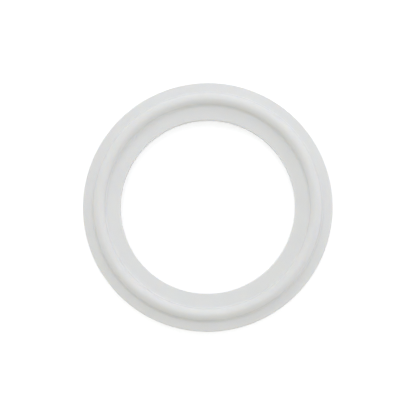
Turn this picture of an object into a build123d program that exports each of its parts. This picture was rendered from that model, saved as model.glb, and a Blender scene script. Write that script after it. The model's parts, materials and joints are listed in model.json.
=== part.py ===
from build123d import *
import math
import os

# Sanitary clamp gasket for a 1.5 inch tube: one ring, moulded in one piece of white rubber.
#
# The ring lies between two clamp ferrules. Its flat web fills the gap between their faces
# and ends flush with the bore of the tube. A round bead on each side drops into the groove
# of a ferrule and centres the ring there. The thinner rim outside the bead lies under the
# edge of the ferrules, where the clamp draws them together; it thins a little outwards.
#
# Millimetres. The axis of the ring is Z, the origin is on it at the middle of the thickness,
# and the two sides are mirror images of each other.

# Across the ring, from the bore outwards
bore_diameter = 35.2
bore_to_crest = 4.3
crest_to_edge = 3.35

# Along the axis
web_thickness = 2.0
rim_thickness = 1.7  # beside the bead
rim_slope = 5.3  # degrees that each face of the rim falls outwards
bead_height = 1.7

# Roundings of the section
crest_radius = 1.2
foot_radius = 0.5
bore_edge_radius = 0.15
rim_edge_radius = 0.2

# Places that follow from these sizes, in the plane of the section: radius, height
bore_radius = bore_diameter / 2
crest_line = bore_radius + bore_to_crest
outer_radius = crest_line + crest_to_edge
crest_top = Vector(crest_line, web_thickness / 2 + bead_height)
crest_centre = crest_top - Vector(0, crest_radius)
web_start = Vector(crest_line - crest_radius, web_thickness / 2)
rim_start = Vector(crest_line + crest_radius, rim_thickness / 2)

# Directions of the two faces, away from the bead, and of their normals
web_along, web_up = Vector(-1, 0), Vector(0, 1)
rim_along, rim_up = web_up.rotate(Axis.Z, -90 - rim_slope), web_up.rotate(Axis.Z, -rim_slope)


def foot_centre(start, along, up):
    """Centre of the foot arc that touches both a face and the crest arc of the bead.

    The face runs from start along one direction, and up is its normal.
    """
    above = start + up * foot_radius - crest_centre
    back = above.dot(along)
    reach = math.sqrt(back**2 - above.dot(above) + (crest_radius + foot_radius) ** 2)
    return crest_centre + above + along * (reach - back)


def bead(inner_foot, outer_foot):
    """Bead outline: one arc over the crest that runs into a hollow foot arc on each side."""
    inner_touch = crest_centre + (inner_foot - crest_centre).normalized() * crest_radius
    outer_touch = crest_centre + (outer_foot - crest_centre).normalized() * crest_radius
    crest = ThreePointArc(inner_touch, crest_top, outer_touch)
    inner = TangentArc(inner_foot - web_up * foot_radius, inner_touch, tangent=-web_along)
    outer = TangentArc(outer_foot - rim_up * foot_radius, outer_touch, tangent=-rim_along)
    return [inner, crest, outer]


def web(inner_foot):
    """Upper outline of the web: up the bore wall, over its edge and out to the bead."""
    edge_start = Vector(bore_radius, web_start.Y - bore_edge_radius)
    edge_end = Vector(bore_radius + bore_edge_radius, web_start.Y)
    wall = Line((bore_radius, 0), edge_start)
    edge = TangentArc(edge_start, edge_end, tangent=web_up)
    face = Line(edge_end, inner_foot - web_up * foot_radius)
    return [wall, edge, face]


def rim(outer_foot):
    """Upper outline of the rim: out from the bead, over its edge and down the outside."""
    face_start = outer_foot - rim_up * foot_radius
    outwards = (outer_radius - rim_start.X - rim_edge_radius * (1 - rim_up.X)) / rim_along.X
    edge_start = rim_start + rim_along * outwards
    edge_end = edge_start - rim_up * rim_edge_radius + Vector(rim_edge_radius, 0)
    face = Line(face_start, edge_start)
    edge = TangentArc(edge_start, edge_end, tangent=rim_along)
    wall = Line(edge_end, (outer_radius, 0))
    return [face, edge, wall]


def section():
    """The whole section: its upper outline, closed by the same outline below."""
    inner_foot = foot_centre(web_start, web_along, web_up)
    outer_foot = foot_centre(rim_start, rim_along, rim_up)
    upper = Curve() + web(inner_foot) + bead(inner_foot, outer_foot) + rim(outer_foot)
    lower = mirror(upper, Plane.XZ)
    return make_face(upper.edges() + lower.edges())


def gasket():
    """The ring: the section stood upright and turned once round the axis."""
    return revolve(Plane.XZ * section(), Axis.Z)


os.makedirs("parts", exist_ok=True)
export_step(gasket(), "parts/gasket_ring.step")
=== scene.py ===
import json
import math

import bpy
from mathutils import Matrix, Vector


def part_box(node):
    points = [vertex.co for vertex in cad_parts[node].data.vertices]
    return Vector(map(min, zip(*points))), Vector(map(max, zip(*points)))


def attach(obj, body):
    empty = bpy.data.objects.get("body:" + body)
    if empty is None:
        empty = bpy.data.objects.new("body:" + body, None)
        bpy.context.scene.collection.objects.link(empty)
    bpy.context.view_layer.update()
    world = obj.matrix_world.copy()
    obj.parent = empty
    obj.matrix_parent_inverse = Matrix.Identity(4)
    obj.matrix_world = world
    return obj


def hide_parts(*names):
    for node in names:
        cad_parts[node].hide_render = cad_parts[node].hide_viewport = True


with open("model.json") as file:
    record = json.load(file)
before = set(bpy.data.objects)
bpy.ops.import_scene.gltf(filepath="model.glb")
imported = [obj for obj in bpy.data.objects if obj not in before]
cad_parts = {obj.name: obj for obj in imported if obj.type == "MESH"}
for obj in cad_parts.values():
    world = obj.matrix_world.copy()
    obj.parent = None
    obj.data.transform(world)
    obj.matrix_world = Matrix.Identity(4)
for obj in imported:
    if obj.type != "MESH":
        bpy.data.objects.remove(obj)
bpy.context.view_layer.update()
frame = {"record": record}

# %% [markdown]
# # A sanitary clamp gasket
#
# The object is one ring of white silicone rubber, moulded in one shot. It lies between two
# clamp ferrules: a flat web reaches from the bore outwards, a round bead stands on each face
# and drops into a groove of the ferrule, and a thinner rim lies under the clamp.
#
# The CAD model gives its exact size and place. This lesson dresses it: a ring made by a small
# node tree, a rubber material, a pale table and the soft light of a light tent.

MM = 0.001

# %% [markdown]
# ## Sizes
#
# A designer never types a size twice. The CAD node tells how wide and how high the ring is,
# and the record names its interfaces: the wall of the bore, the flat faces and the crest
# lines of the beads. Only the small roundings of the section and the slope of its rim are
# written here, because the frame has no name for them. The faces of the rim follow from the
# height of its outer wall: up the rounded edge, then back along the slope to the bead.

# %% Sizes of the ring
low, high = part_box("gasket_ring")
mounts = {mount["name"]: mount for mount in frame["record"]["mounts"]}

bore_radius = mounts["bore"]["dims"]["r_mm"] * MM
outer_radius = mounts["rim_outside"]["dims"]["r_mm"] * MM
web_face = mounts["upper_web_face"]["pos_m"][2]
crest_line = mounts["upper_bead"]["pos_m"][0]
crest_top = high[2]
bore_edge = 0.15 * MM
foot_radius = 0.5 * MM
crest_radius = crest_top - web_face - foot_radius

rim_edge = 0.2 * MM
rim_slope = math.radians(5.3)
rim_wall = mounts["rim_outside"]["dims"]["length_mm"] * MM / 2
rim_edge_face = rim_wall + rim_edge * math.tan(math.pi / 4 - rim_slope / 2)
rim_face = rim_edge_face + (outer_radius - crest_line - crest_radius) * math.tan(rim_slope)

print(f"bore {bore_radius / MM:.2f}, crest line {crest_line / MM:.2f} mm")
print(f"outside {outer_radius / MM:.2f} mm")
print(f"faces at {rim_face / MM:.2f} and {web_face / MM:.2f}, crest at {crest_top / MM:.2f} mm")

# %% [markdown]
# ## A helper for node trees
#
# Shader trees and geometry trees are built in the same way: add a node, set its free sockets,
# link the others. One short helper does all three, so that a tree reads like a recipe. A value
# that is a socket becomes a link, and anything else is typed into the socket.


# %% Node helper
def add_node(tree, kind, inputs=None, **settings):
    """Adds a node, sets its properties, and fills its inputs with values or links."""
    node = tree.nodes.new(kind)
    for name, value in settings.items():
        setattr(node, name, value)
    for key, value in (inputs or {}).items():
        socket = node.inputs[key]
        if isinstance(value, bpy.types.NodeSocket):
            tree.links.new(value, socket)
        else:
            socket.default_value = value
    return node


def calculate(tree, operation, first, second=0.0, third=0.0):
    """One step of arithmetic on two or three values or sockets; returns the result's socket."""
    values = {0: first, 1: second, 2: third}
    return add_node(tree, "ShaderNodeMath", values, operation=operation).outputs[0]


# %% [markdown]
# ## The section as a rule
#
# The ring is its section, swept once round the axis. The section is simple to say: eight
# corners above the middle, each with its own rounding, and the same eight below. The crest
# of the bead is two corners whose roundings meet at the top, which makes a full round.
#
# It could be drawn as a list of points, or lathed with a Screw modifier. Geometry Nodes keep
# the rule itself: the sizes are named inputs, and Fillet Curve rounds every corner exactly.
# The last two corners are the parting line, a thin seam on the outside where the two halves
# of the mould met and the flash was trimmed off.

# %% Tree and its named sizes
MICRON = 0.001 * MM
flash_height = 0.04 * MM
flash_width = 0.22 * MM
flash_top_share = 0.15
flash_trim_share = 0.8
flash_wander_scale = 900.0

ring_tree = bpy.data.node_groups.new("Gasket ring", "GeometryNodeTree")
ring_tree.is_modifier = True
ring_tree.interface.new_socket("Geometry", in_out="OUTPUT", socket_type="NodeSocketGeometry")

ring_sizes = {
    "Bore Radius": bore_radius,
    "Crest Line": crest_line,
    "Outer Radius": outer_radius,
    "Web Face": web_face,
    "Rim Face": rim_face,
    "Rim Edge Face": rim_edge_face,
    "Crest Top": crest_top,
    "Crest Radius": crest_radius,
    "Foot Radius": foot_radius,
    "Bore Edge": bore_edge,
    "Rim Edge": rim_edge,
    "Flash Height": flash_height,
    "Flash Width": flash_width,
    "Longest Step": 0.2 * MM,
}
ring_counts = {"Steps In Crest": 16, "Steps In Foot": 9, "Steps In Edge": 6, "Steps Around": 480}

for name in ring_sizes:
    ring_tree.interface.new_socket(name, in_out="INPUT", socket_type="NodeSocketFloat")
for name in ring_counts:
    ring_tree.interface.new_socket(name, in_out="INPUT", socket_type="NodeSocketInt")
ring_tree.interface.new_socket("Rubber", in_out="INPUT", socket_type="NodeSocketMaterial")
size = ring_tree.nodes.new("NodeGroupInput").outputs
print("Inputs of the ring:", [socket.name for socket in size if socket.name])

# %% [markdown]
# The corners run outwards along the upper half: bore, inner foot, both shoulders of the
# crest, outer foot, rim edge, and the two of the parting line. Index Switch picks the place,
# the rounding and the number of steps of each. The lower half counts back through the same
# eight corners with its heights turned over.


# %% Corners of the section
def corner_switch(tree, kind, items, index):
    """Gives each corner its own value: item number index of the list."""
    switch = add_node(tree, "GeometryNodeIndexSwitch", data_type=kind)
    while len(switch.index_switch_items) < len(items):
        switch.index_switch_items.new()
    tree.links.new(index, switch.inputs["Index"])
    for socket, value in zip(list(switch.inputs)[1:], items):
        if isinstance(value, bpy.types.NodeSocket):
            tree.links.new(value, socket)
        else:
            socket.default_value = value
    return switch.outputs[0]


crest_inside = calculate(ring_tree, "SUBTRACT", size["Crest Line"], size["Crest Radius"])
crest_outside = calculate(ring_tree, "ADD", size["Crest Line"], size["Crest Radius"])
wall_radius = calculate(ring_tree, "SUBTRACT", size["Outer Radius"], size["Flash Height"])
flash_base = calculate(ring_tree, "MULTIPLY", size["Flash Width"], 0.5)
flash_top = calculate(ring_tree, "MULTIPLY", size["Flash Width"], flash_top_share)

corners = [
    (size["Bore Radius"], size["Web Face"], size["Bore Edge"], size["Steps In Edge"]),
    (crest_inside, size["Web Face"], size["Foot Radius"], size["Steps In Foot"]),
    (crest_inside, size["Crest Top"], size["Crest Radius"], size["Steps In Crest"]),
    (crest_outside, size["Crest Top"], size["Crest Radius"], size["Steps In Crest"]),
    (crest_outside, size["Rim Face"], size["Foot Radius"], size["Steps In Foot"]),
    (wall_radius, size["Rim Edge Face"], size["Rim Edge"], size["Steps In Edge"]),
    (wall_radius, flash_base, 0.0, 1),
    (size["Outer Radius"], flash_top, 0.0, 1),
]
last_corner = 2 * len(corners) - 1
print(last_corner + 1, "corners in the whole section")

# %% [markdown]
# A circle with one point for each corner gives a closed curve to start from. Every point is
# moved to its corner, and Fillet Curve then rounds the sharp outline, in polygon mode, so
# that the number of steps in each rounding is known.

# %% Section curve
index = add_node(ring_tree, "GeometryNodeInputIndex").outputs[0]
back_index = calculate(ring_tree, "SUBTRACT", last_corner, index)
corner = calculate(ring_tree, "MINIMUM", index, back_index)
half = calculate(ring_tree, "SIGN", calculate(ring_tree, "SUBTRACT", back_index, index))

radii = corner_switch(ring_tree, "FLOAT", [c[0] for c in corners], corner)
heights = corner_switch(ring_tree, "FLOAT", [c[1] for c in corners], corner)
roundings = corner_switch(ring_tree, "FLOAT", [c[2] for c in corners], corner)
steps = corner_switch(ring_tree, "INT", [c[3] for c in corners], corner)

place = add_node(ring_tree, "ShaderNodeCombineXYZ", {
    "X": calculate(ring_tree, "SUBTRACT", radii, size["Crest Line"]),
    "Y": calculate(ring_tree, "MULTIPLY", heights, half),
})
blank = add_node(ring_tree, "GeometryNodeCurvePrimitiveCircle", {"Resolution": last_corner + 1})
sharp_section = add_node(ring_tree, "GeometryNodeSetPosition", {
    "Geometry": blank.outputs["Curve"],
    "Position": place.outputs[0],
})
section = add_node(ring_tree, "GeometryNodeFilletCurve", {
    "Curve": sharp_section.outputs[0],
    "Count": steps,
    "Radius": roundings,
}, mode="POLY")
print("Section curve rounds its corners with", section.bl_label)

# %% [markdown]
# Smooth shading blends the light between neighbouring vertices. On a long flat next to a tight
# rounding, that blend would spread the rounding's shade over the whole flat. So no straight
# run may be longer than the Longest Step: it is cut into short pieces, and the blend stays in
# the last of them.

# %% Short steps on the flats
here = add_node(ring_tree, "GeometryNodeInputPosition").outputs[0]
next_point = add_node(ring_tree, "GeometryNodeOffsetPointInCurve", {"Offset": 1})
there = add_node(ring_tree, "GeometryNodeFieldAtIndex", {
    "Index": next_point.outputs["Point Index"],
    "Value": here,
}, data_type="FLOAT_VECTOR", domain="POINT")
run = add_node(ring_tree, "ShaderNodeVectorMath", {
    0: here, 1: there.outputs[0]}, operation="DISTANCE")
cuts = calculate(ring_tree, "DIVIDE", run.outputs["Value"], size["Longest Step"])
stepped = add_node(ring_tree, "GeometryNodeSubdivideCurve", {
    "Curve": section.outputs[0],
    "Cuts": calculate(ring_tree, "FLOOR", cuts),
})
print("Flats are cut by", stepped.bl_label)

# %% [markdown]
# Curve to Mesh carries the section round a circle on the crest line. Where two roundings meet,
# the section has two points in one place, so Merge by Distance closes the surface. This
# section runs clockwise, so the sweep leaves every face looking inwards. The picture comes out
# the same, but a program that hides the backs of faces shows it, so Flip Faces turns them out.
#
# The flash is trimmed by hand on the real ring, so its height wanders: a noise pattern pulls
# its edge in by up to four fifths. The pattern has no seed of its own, and it is the same on
# every run.

# %% Sweep, trimmed flash and finish
rail = add_node(ring_tree, "GeometryNodeCurvePrimitiveCircle", {
    "Resolution": size["Steps Around"],
    "Radius": size["Crest Line"],
})
swept = add_node(ring_tree, "GeometryNodeCurveToMesh", {
    "Curve": rail.outputs["Curve"],
    "Profile Curve": stepped.outputs[0],
})
closed = add_node(ring_tree, "GeometryNodeMergeByDistance", {
    "Geometry": swept.outputs[0],
    "Distance": 0.5 * MICRON,
})
outside_out = add_node(ring_tree, "GeometryNodeFlipFaces", {"Mesh": closed.outputs[0]})

flat_place = add_node(ring_tree, "ShaderNodeVectorMath", {
    0: here, 1: (1, 1, 0)}, operation="MULTIPLY")
axis_distance = add_node(ring_tree, "ShaderNodeVectorMath", {
    0: flat_place.outputs[0]}, operation="LENGTH")
stands_out = calculate(ring_tree, "SUBTRACT", axis_distance.outputs["Value"], wall_radius)
on_flash = calculate(ring_tree, "GREATER_THAN", stands_out, MICRON)
wander = add_node(ring_tree, "ShaderNodeTexNoise", {
    "Vector": here, "Scale": flash_wander_scale, "Detail": 3.0})
trimmed = calculate(ring_tree, "MULTIPLY", wander.outputs["Fac"], -flash_trim_share)
pull = calculate(ring_tree, "MULTIPLY", trimmed, size["Flash Height"])
outwards = add_node(ring_tree, "ShaderNodeVectorMath", {
    0: flat_place.outputs[0]}, operation="NORMALIZE")
offset = add_node(ring_tree, "ShaderNodeVectorMath", {
    0: outwards.outputs[0], "Scale": pull}, operation="SCALE")
trimmed_ring = add_node(ring_tree, "GeometryNodeSetPosition", {
    "Geometry": outside_out.outputs[0],
    "Selection": on_flash,
    "Offset": offset.outputs[0],
})

smooth = add_node(ring_tree, "GeometryNodeSetShadeSmooth", {"Geometry": trimmed_ring.outputs[0]})
real = add_node(ring_tree, "GeometryNodeRealizeInstances", {"Geometry": smooth.outputs[0]})
coated = add_node(ring_tree, "GeometryNodeSetMaterial", {
    "Geometry": real.outputs[0],
    "Material": size["Rubber"],
})
add_node(ring_tree, "NodeGroupOutput", {"Geometry": coated.outputs[0]})
print("The ring's tree has", len(ring_tree.nodes), "nodes")

# %% [markdown]
# ## White silicone rubber
#
# Moulded silicone is a soft white with a satin skin. Light goes a little way in and comes out
# beside where it entered, which softens every fold: that is subsurface scattering, with a
# reach of a few tenths of a millimetre. The skin copies the mould, and the mould was turned on
# a lathe, so each face has very fine rings round the axis under an even grain.
#
# The patterns could be painted images, but they would blur close up. Procedural textures on
# Object coordinates stay sharp, and they keep their real size in metres.


# %% Pattern group: skin copied from a turned mould
def turned_mould_skin():
    """Group that gives the skin's height and a slow mottling, both from 0 to 1."""
    tree = bpy.data.node_groups.new("Turned mould skin", "ShaderNodeTree")
    face = tree.interface
    face.new_socket("Place", in_out="INPUT", socket_type="NodeSocketVector")
    face.new_socket("Ring Pitch", in_out="INPUT", socket_type="NodeSocketFloat")
    face.new_socket("Grain Size", in_out="INPUT", socket_type="NodeSocketFloat")
    face.new_socket("Mottle Size", in_out="INPUT", socket_type="NodeSocketFloat")
    face.new_socket("Height", in_out="OUTPUT", socket_type="NodeSocketFloat")
    face.new_socket("Mottle", in_out="OUTPUT", socket_type="NodeSocketFloat")
    given = tree.nodes.new("NodeGroupInput").outputs

    flat = add_node(tree, "ShaderNodeVectorMath", {
        0: given["Place"], 1: (1, 1, 0)}, operation="MULTIPLY")
    radius = add_node(tree, "ShaderNodeVectorMath", {0: flat.outputs[0]}, operation="LENGTH")
    turns = calculate(tree, "DIVIDE", radius.outputs["Value"], given["Ring Pitch"])
    tool_marks = add_node(tree, "ShaderNodeTexNoise", {
        "W": turns, "Detail": 2.0}, noise_dimensions="1D")

    grain_scale = calculate(tree, "DIVIDE", 1.0, given["Grain Size"])
    grain = add_node(tree, "ShaderNodeTexNoise", {
        "Vector": given["Place"], "Scale": grain_scale, "Detail": 3.0, "Roughness": 0.6})
    mottle_scale = calculate(tree, "DIVIDE", 1.0, given["Mottle Size"])
    mottle = add_node(tree, "ShaderNodeTexNoise", {
        "Vector": given["Place"], "Scale": mottle_scale, "Detail": 2.0, "Roughness": 0.5})

    marks = calculate(tree, "MULTIPLY", tool_marks.outputs["Fac"], 0.35)
    height = calculate(tree, "MULTIPLY_ADD", grain.outputs["Fac"], 0.65, marks)
    add_node(tree, "NodeGroupOutput", {"Height": height, "Mottle": mottle.outputs["Fac"]})
    return tree


skin_group = turned_mould_skin()
skin_sockets = skin_group.interface.items_tree
print("Skin group puts out", [item.name for item in skin_sockets if item.in_out == "OUTPUT"])

# %% [markdown]
# The rubber is one Principled shader. The skin's height goes into its bump, and the slow
# mottling moves its colour and its gloss a little, because moulded rubber is never quite even.
# A thin coat stands for the sheen of the skin.


# %% Rubber material
def blend_colours(tree, mask, first, second):
    """Colour between two by a mask."""
    mix = add_node(tree, "ShaderNodeMix", {"Factor": mask}, data_type="RGBA")
    mix.inputs["A"].default_value = (*first, 1)
    mix.inputs["B"].default_value = (*second, 1)
    return mix.outputs["Result"]


def white_silicone():
    """Satin white rubber, a little translucent, with a fine moulded skin."""
    material = bpy.data.materials.new("white_silicone")
    material.use_nodes = True
    tree = material.node_tree
    tree.nodes.clear()
    where = add_node(tree, "ShaderNodeTexCoord").outputs["Object"]
    skin = add_node(tree, "ShaderNodeGroup", node_tree=skin_group)
    tree.links.new(where, skin.inputs["Place"])
    skin.inputs["Ring Pitch"].default_value = 0.09 * MM
    skin.inputs["Grain Size"].default_value = 0.12 * MM
    skin.inputs["Mottle Size"].default_value = 6 * MM

    colour = blend_colours(tree, skin.outputs["Mottle"], (0.82, 0.82, 0.80), (0.86, 0.86, 0.845))
    gloss = add_node(tree, "ShaderNodeMapRange", {
        "Value": skin.outputs["Mottle"], "To Min": 0.54, "To Max": 0.64})
    relief = add_node(tree, "ShaderNodeBump", {
        "Height": skin.outputs["Height"], "Strength": 1.0, "Distance": 4 * MICRON})
    rubber = add_node(tree, "ShaderNodeBsdfPrincipled", {
        "Base Color": colour,
        "Roughness": gloss.outputs["Result"],
        "Normal": relief.outputs["Normal"],
        "IOR": 1.41,
        "Coat Weight": 0.5,
        "Coat Roughness": 0.20,
        "Coat IOR": 1.41,
        "Subsurface Weight": 1.0,
        "Subsurface Radius": (1.0, 0.9, 0.75),
        "Subsurface Scale": 0.16 * MM,
    }, subsurface_method="RANDOM_WALK")
    add_node(tree, "ShaderNodeOutputMaterial", {"Surface": rubber.outputs[0]})
    return material


rubber_material = white_silicone()
print("Material", rubber_material.name, "has", len(rubber_material.node_tree.nodes), "nodes")

# %% [markdown]
# ## Making the ring
#
# A Geometry Nodes modifier grows the ring on an empty mesh. Its inputs are set by the socket
# identifiers, which stay fixed when a label changes. Then the evaluated shape is turned into a
# plain mesh, so that it can be exported, measured and carried by the CAD body.


# %% Grow the ring and freeze it
def grow(name, tree, values):
    """Evaluates a geometry tree once and returns the result as an object with a plain mesh."""
    seed = bpy.data.objects.new(name + "_seed", bpy.data.meshes.new(name + "_seed"))
    bpy.context.scene.collection.objects.link(seed)
    modifier = seed.modifiers.new("Rule", "NODES")
    modifier.node_group = tree
    for item in tree.interface.items_tree:
        if item.in_out == "INPUT":
            modifier[item.identifier] = values[item.name]
    evaluated = seed.evaluated_get(bpy.context.evaluated_depsgraph_get())
    mesh = bpy.data.meshes.new_from_object(evaluated)
    mesh.name = name
    bpy.data.objects.remove(seed)
    piece = bpy.data.objects.new(name, mesh)
    bpy.context.scene.collection.objects.link(piece)
    return piece


ring = grow("gasket", ring_tree, {**ring_sizes, **ring_counts, "Rubber": rubber_material})
triangles = sum(len(face.vertices) - 2 for face in ring.data.polygons)
spread = [max(v.co[axis] for v in ring.data.vertices) / MM for axis in range(3)]
print("Ring:", triangles, "triangles, reaches", [round(value, 3) for value in spread], "mm")
top_faces = [face for face in ring.data.polygons if face.center.z > web_face]
looking_up = sum(face.normal.z > 0 for face in top_faces)
print("Faces above the web that look up:", looking_up, "of", len(top_faces))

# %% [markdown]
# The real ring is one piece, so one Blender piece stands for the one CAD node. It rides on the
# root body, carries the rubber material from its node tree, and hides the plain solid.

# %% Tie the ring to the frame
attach(ring, "root")
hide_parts("gasket_ring")
print("The ring replaces the CAD node gasket_ring")

# %% [markdown]
# ## The table
#
# A pale matt table carries the ring, which rests on the crest of its lower bead. The table is
# lit like everything else, so the ring's soft shadow shows on it. To the camera it also glows
# a little, which lifts its plain parts to white and leaves the shadow.


# %% Table
def pale_table():
    """Matt white that keeps shadows; the camera sees it lifted to a clean white."""
    material = bpy.data.materials.new("pale_table")
    material.use_nodes = True
    tree = material.node_tree
    tree.nodes.clear()
    where = add_node(tree, "ShaderNodeTexCoord").outputs["Object"]
    fibre = add_node(tree, "ShaderNodeTexNoise", {"Vector": where, "Scale": 1500.0, "Detail": 2.0})
    colour = blend_colours(tree, fibre.outputs["Fac"], (0.66, 0.66, 0.66), (0.70, 0.70, 0.70))
    matt = add_node(tree, "ShaderNodeBsdfDiffuse", {"Color": colour})
    rays = add_node(tree, "ShaderNodeLightPath").outputs
    seen = calculate(tree, "MAXIMUM", rays["Is Camera Ray"], rays["Is Glossy Ray"])
    seen = calculate(tree, "MAXIMUM", seen, rays["Is Transmission Ray"])
    lift = calculate(tree, "MULTIPLY", seen, 0.6)
    glow = add_node(tree, "ShaderNodeEmission", {"Color": (1, 1, 1, 1), "Strength": lift})
    lifted = add_node(tree, "ShaderNodeAddShader", {0: matt.outputs[0], 1: glow.outputs[0]})
    add_node(tree, "ShaderNodeOutputMaterial", {"Surface": lifted.outputs[0]})
    return material


table_reach = 0.6
corners_xy = [(-1, -1), (1, -1), (1, 1), (-1, 1)]
table_mesh = bpy.data.meshes.new("table")
table_corners = [(x * table_reach, y * table_reach, low[2]) for x, y in corners_xy]
table_mesh.from_pydata(table_corners, [], [(0, 1, 2, 3)])
table_mesh.materials.append(pale_table())
table = bpy.data.objects.new("table", table_mesh)
bpy.context.scene.collection.objects.link(table)
print("Table at", round(low[2] / MM, 2), "mm")

# %% [markdown]
# ## Camera
#
# The ring lies flat and is seen from above, almost straight down: the camera leans six
# degrees towards the near side and a little to the right, so that a hair of the bore's far
# wall shows. It stands 0.6 m away, as for a product shot, and the lens makes the ring fill
# three fifths of the picture.
#
# A camera looks along its own -Z. Its three axes are written as the columns of a matrix, with
# its Y as near to the world's Y as the lean allows, so that the picture stays upright.

# %% Camera
camera_distance = 0.60
camera_lean = math.radians(6)
camera_side = math.radians(290)
camera_aim = Vector((0.07, -0.21, 0.0)) * MM
ring_share = 0.601

camera_data = bpy.data.cameras.new("camera")
view_width = 2 * outer_radius / ring_share
camera_data.lens = camera_data.sensor_width * camera_distance / view_width

away = Vector((
    math.sin(camera_lean) * math.cos(camera_side),
    math.sin(camera_lean) * math.sin(camera_side),
    math.cos(camera_lean),
))
across = Vector((0, 1, 0)).cross(away).normalized()
camera_axes = Matrix((across, away.cross(across), away)).transposed()
camera = bpy.data.objects.new("camera", camera_data)
camera_place = camera_aim + away * camera_distance
camera.matrix_world = Matrix.Translation(camera_place) @ camera_axes.to_4x4()
bpy.context.scene.collection.objects.link(camera)
bpy.context.scene.camera = camera
print(f"Lens {camera_data.lens:.0f} mm at {camera_distance} m")

# %% [markdown]
# ## Light
#
# A white ring on a white table has only its shading to show its form. A light tent gives soft
# light from all round, and some of its sides are brighter: here the far side, the right one
# and the top. The world is the tent, and a few large panels make the difference between its
# sides. Their light is a little bluer than the tent's.


# %% World
def tent(strength, colour):
    """Even soft light from all round, seen as white by the camera."""
    world = bpy.data.worlds.new("tent")
    world.use_nodes = True
    tree = world.node_tree
    tree.nodes.clear()
    rays = add_node(tree, "ShaderNodeLightPath").outputs
    light = add_node(tree, "ShaderNodeBackground", {"Color": (*colour, 1), "Strength": strength})
    white = add_node(tree, "ShaderNodeBackground", {"Color": (1, 1, 1, 1), "Strength": 1.0})
    seen = add_node(tree, "ShaderNodeMixShader", {
        0: rays["Is Camera Ray"], 1: light.outputs[0], 2: white.outputs[0]})
    add_node(tree, "ShaderNodeOutputWorld", {"Surface": seen.outputs[0]})
    return world


bpy.context.scene.world = tent(0.565, (1.0, 0.995, 0.91))
panel_distance = 0.5


def panel(name, azimuth, elevation, width, energy, colour):
    """A square soft panel, aimed at the ring from a direction given in degrees."""
    lamp = bpy.data.lights.new(name, "AREA")
    lamp.size = width
    lamp.energy = energy
    lamp.color = colour
    away = Vector((
        math.cos(math.radians(elevation)) * math.cos(math.radians(azimuth)),
        math.cos(math.radians(elevation)) * math.sin(math.radians(azimuth)),
        math.sin(math.radians(elevation)),
    ))
    holder = bpy.data.objects.new(name, lamp)
    holder.location = away * panel_distance
    holder.rotation_euler = away.to_track_quat("Z", "Y").to_euler()
    bpy.context.scene.collection.objects.link(holder)
    return holder


# name, azimuth and elevation in degrees, width in metres, power in watts, colour
panel("far_panel", 90, 20, 0.35, 0.53, (0.84, 0.90, 1.0))
panel("right_panel", 0, 10, 0.35, 0.64, (0.82, 0.80, 1.0))
panel("left_panel", 180, 10, 0.35, 0.17, (0.80, 0.80, 1.0))
panel("high_panel", 120, 58, 0.35, 0.28, (0.80, 0.77, 1.0))
panel("overhead_panel", 0, 85, 0.35, 0.40, (0.75, 0.82, 1.0))
panel("small_window", 150, 42, 0.06, 0.06, (1.0, 1.0, 1.0))

# %% [markdown]
# ## Last settings
#
# The Standard view shows colours as they are written.

# %% View
bpy.context.scene.view_settings.view_transform = "Standard"
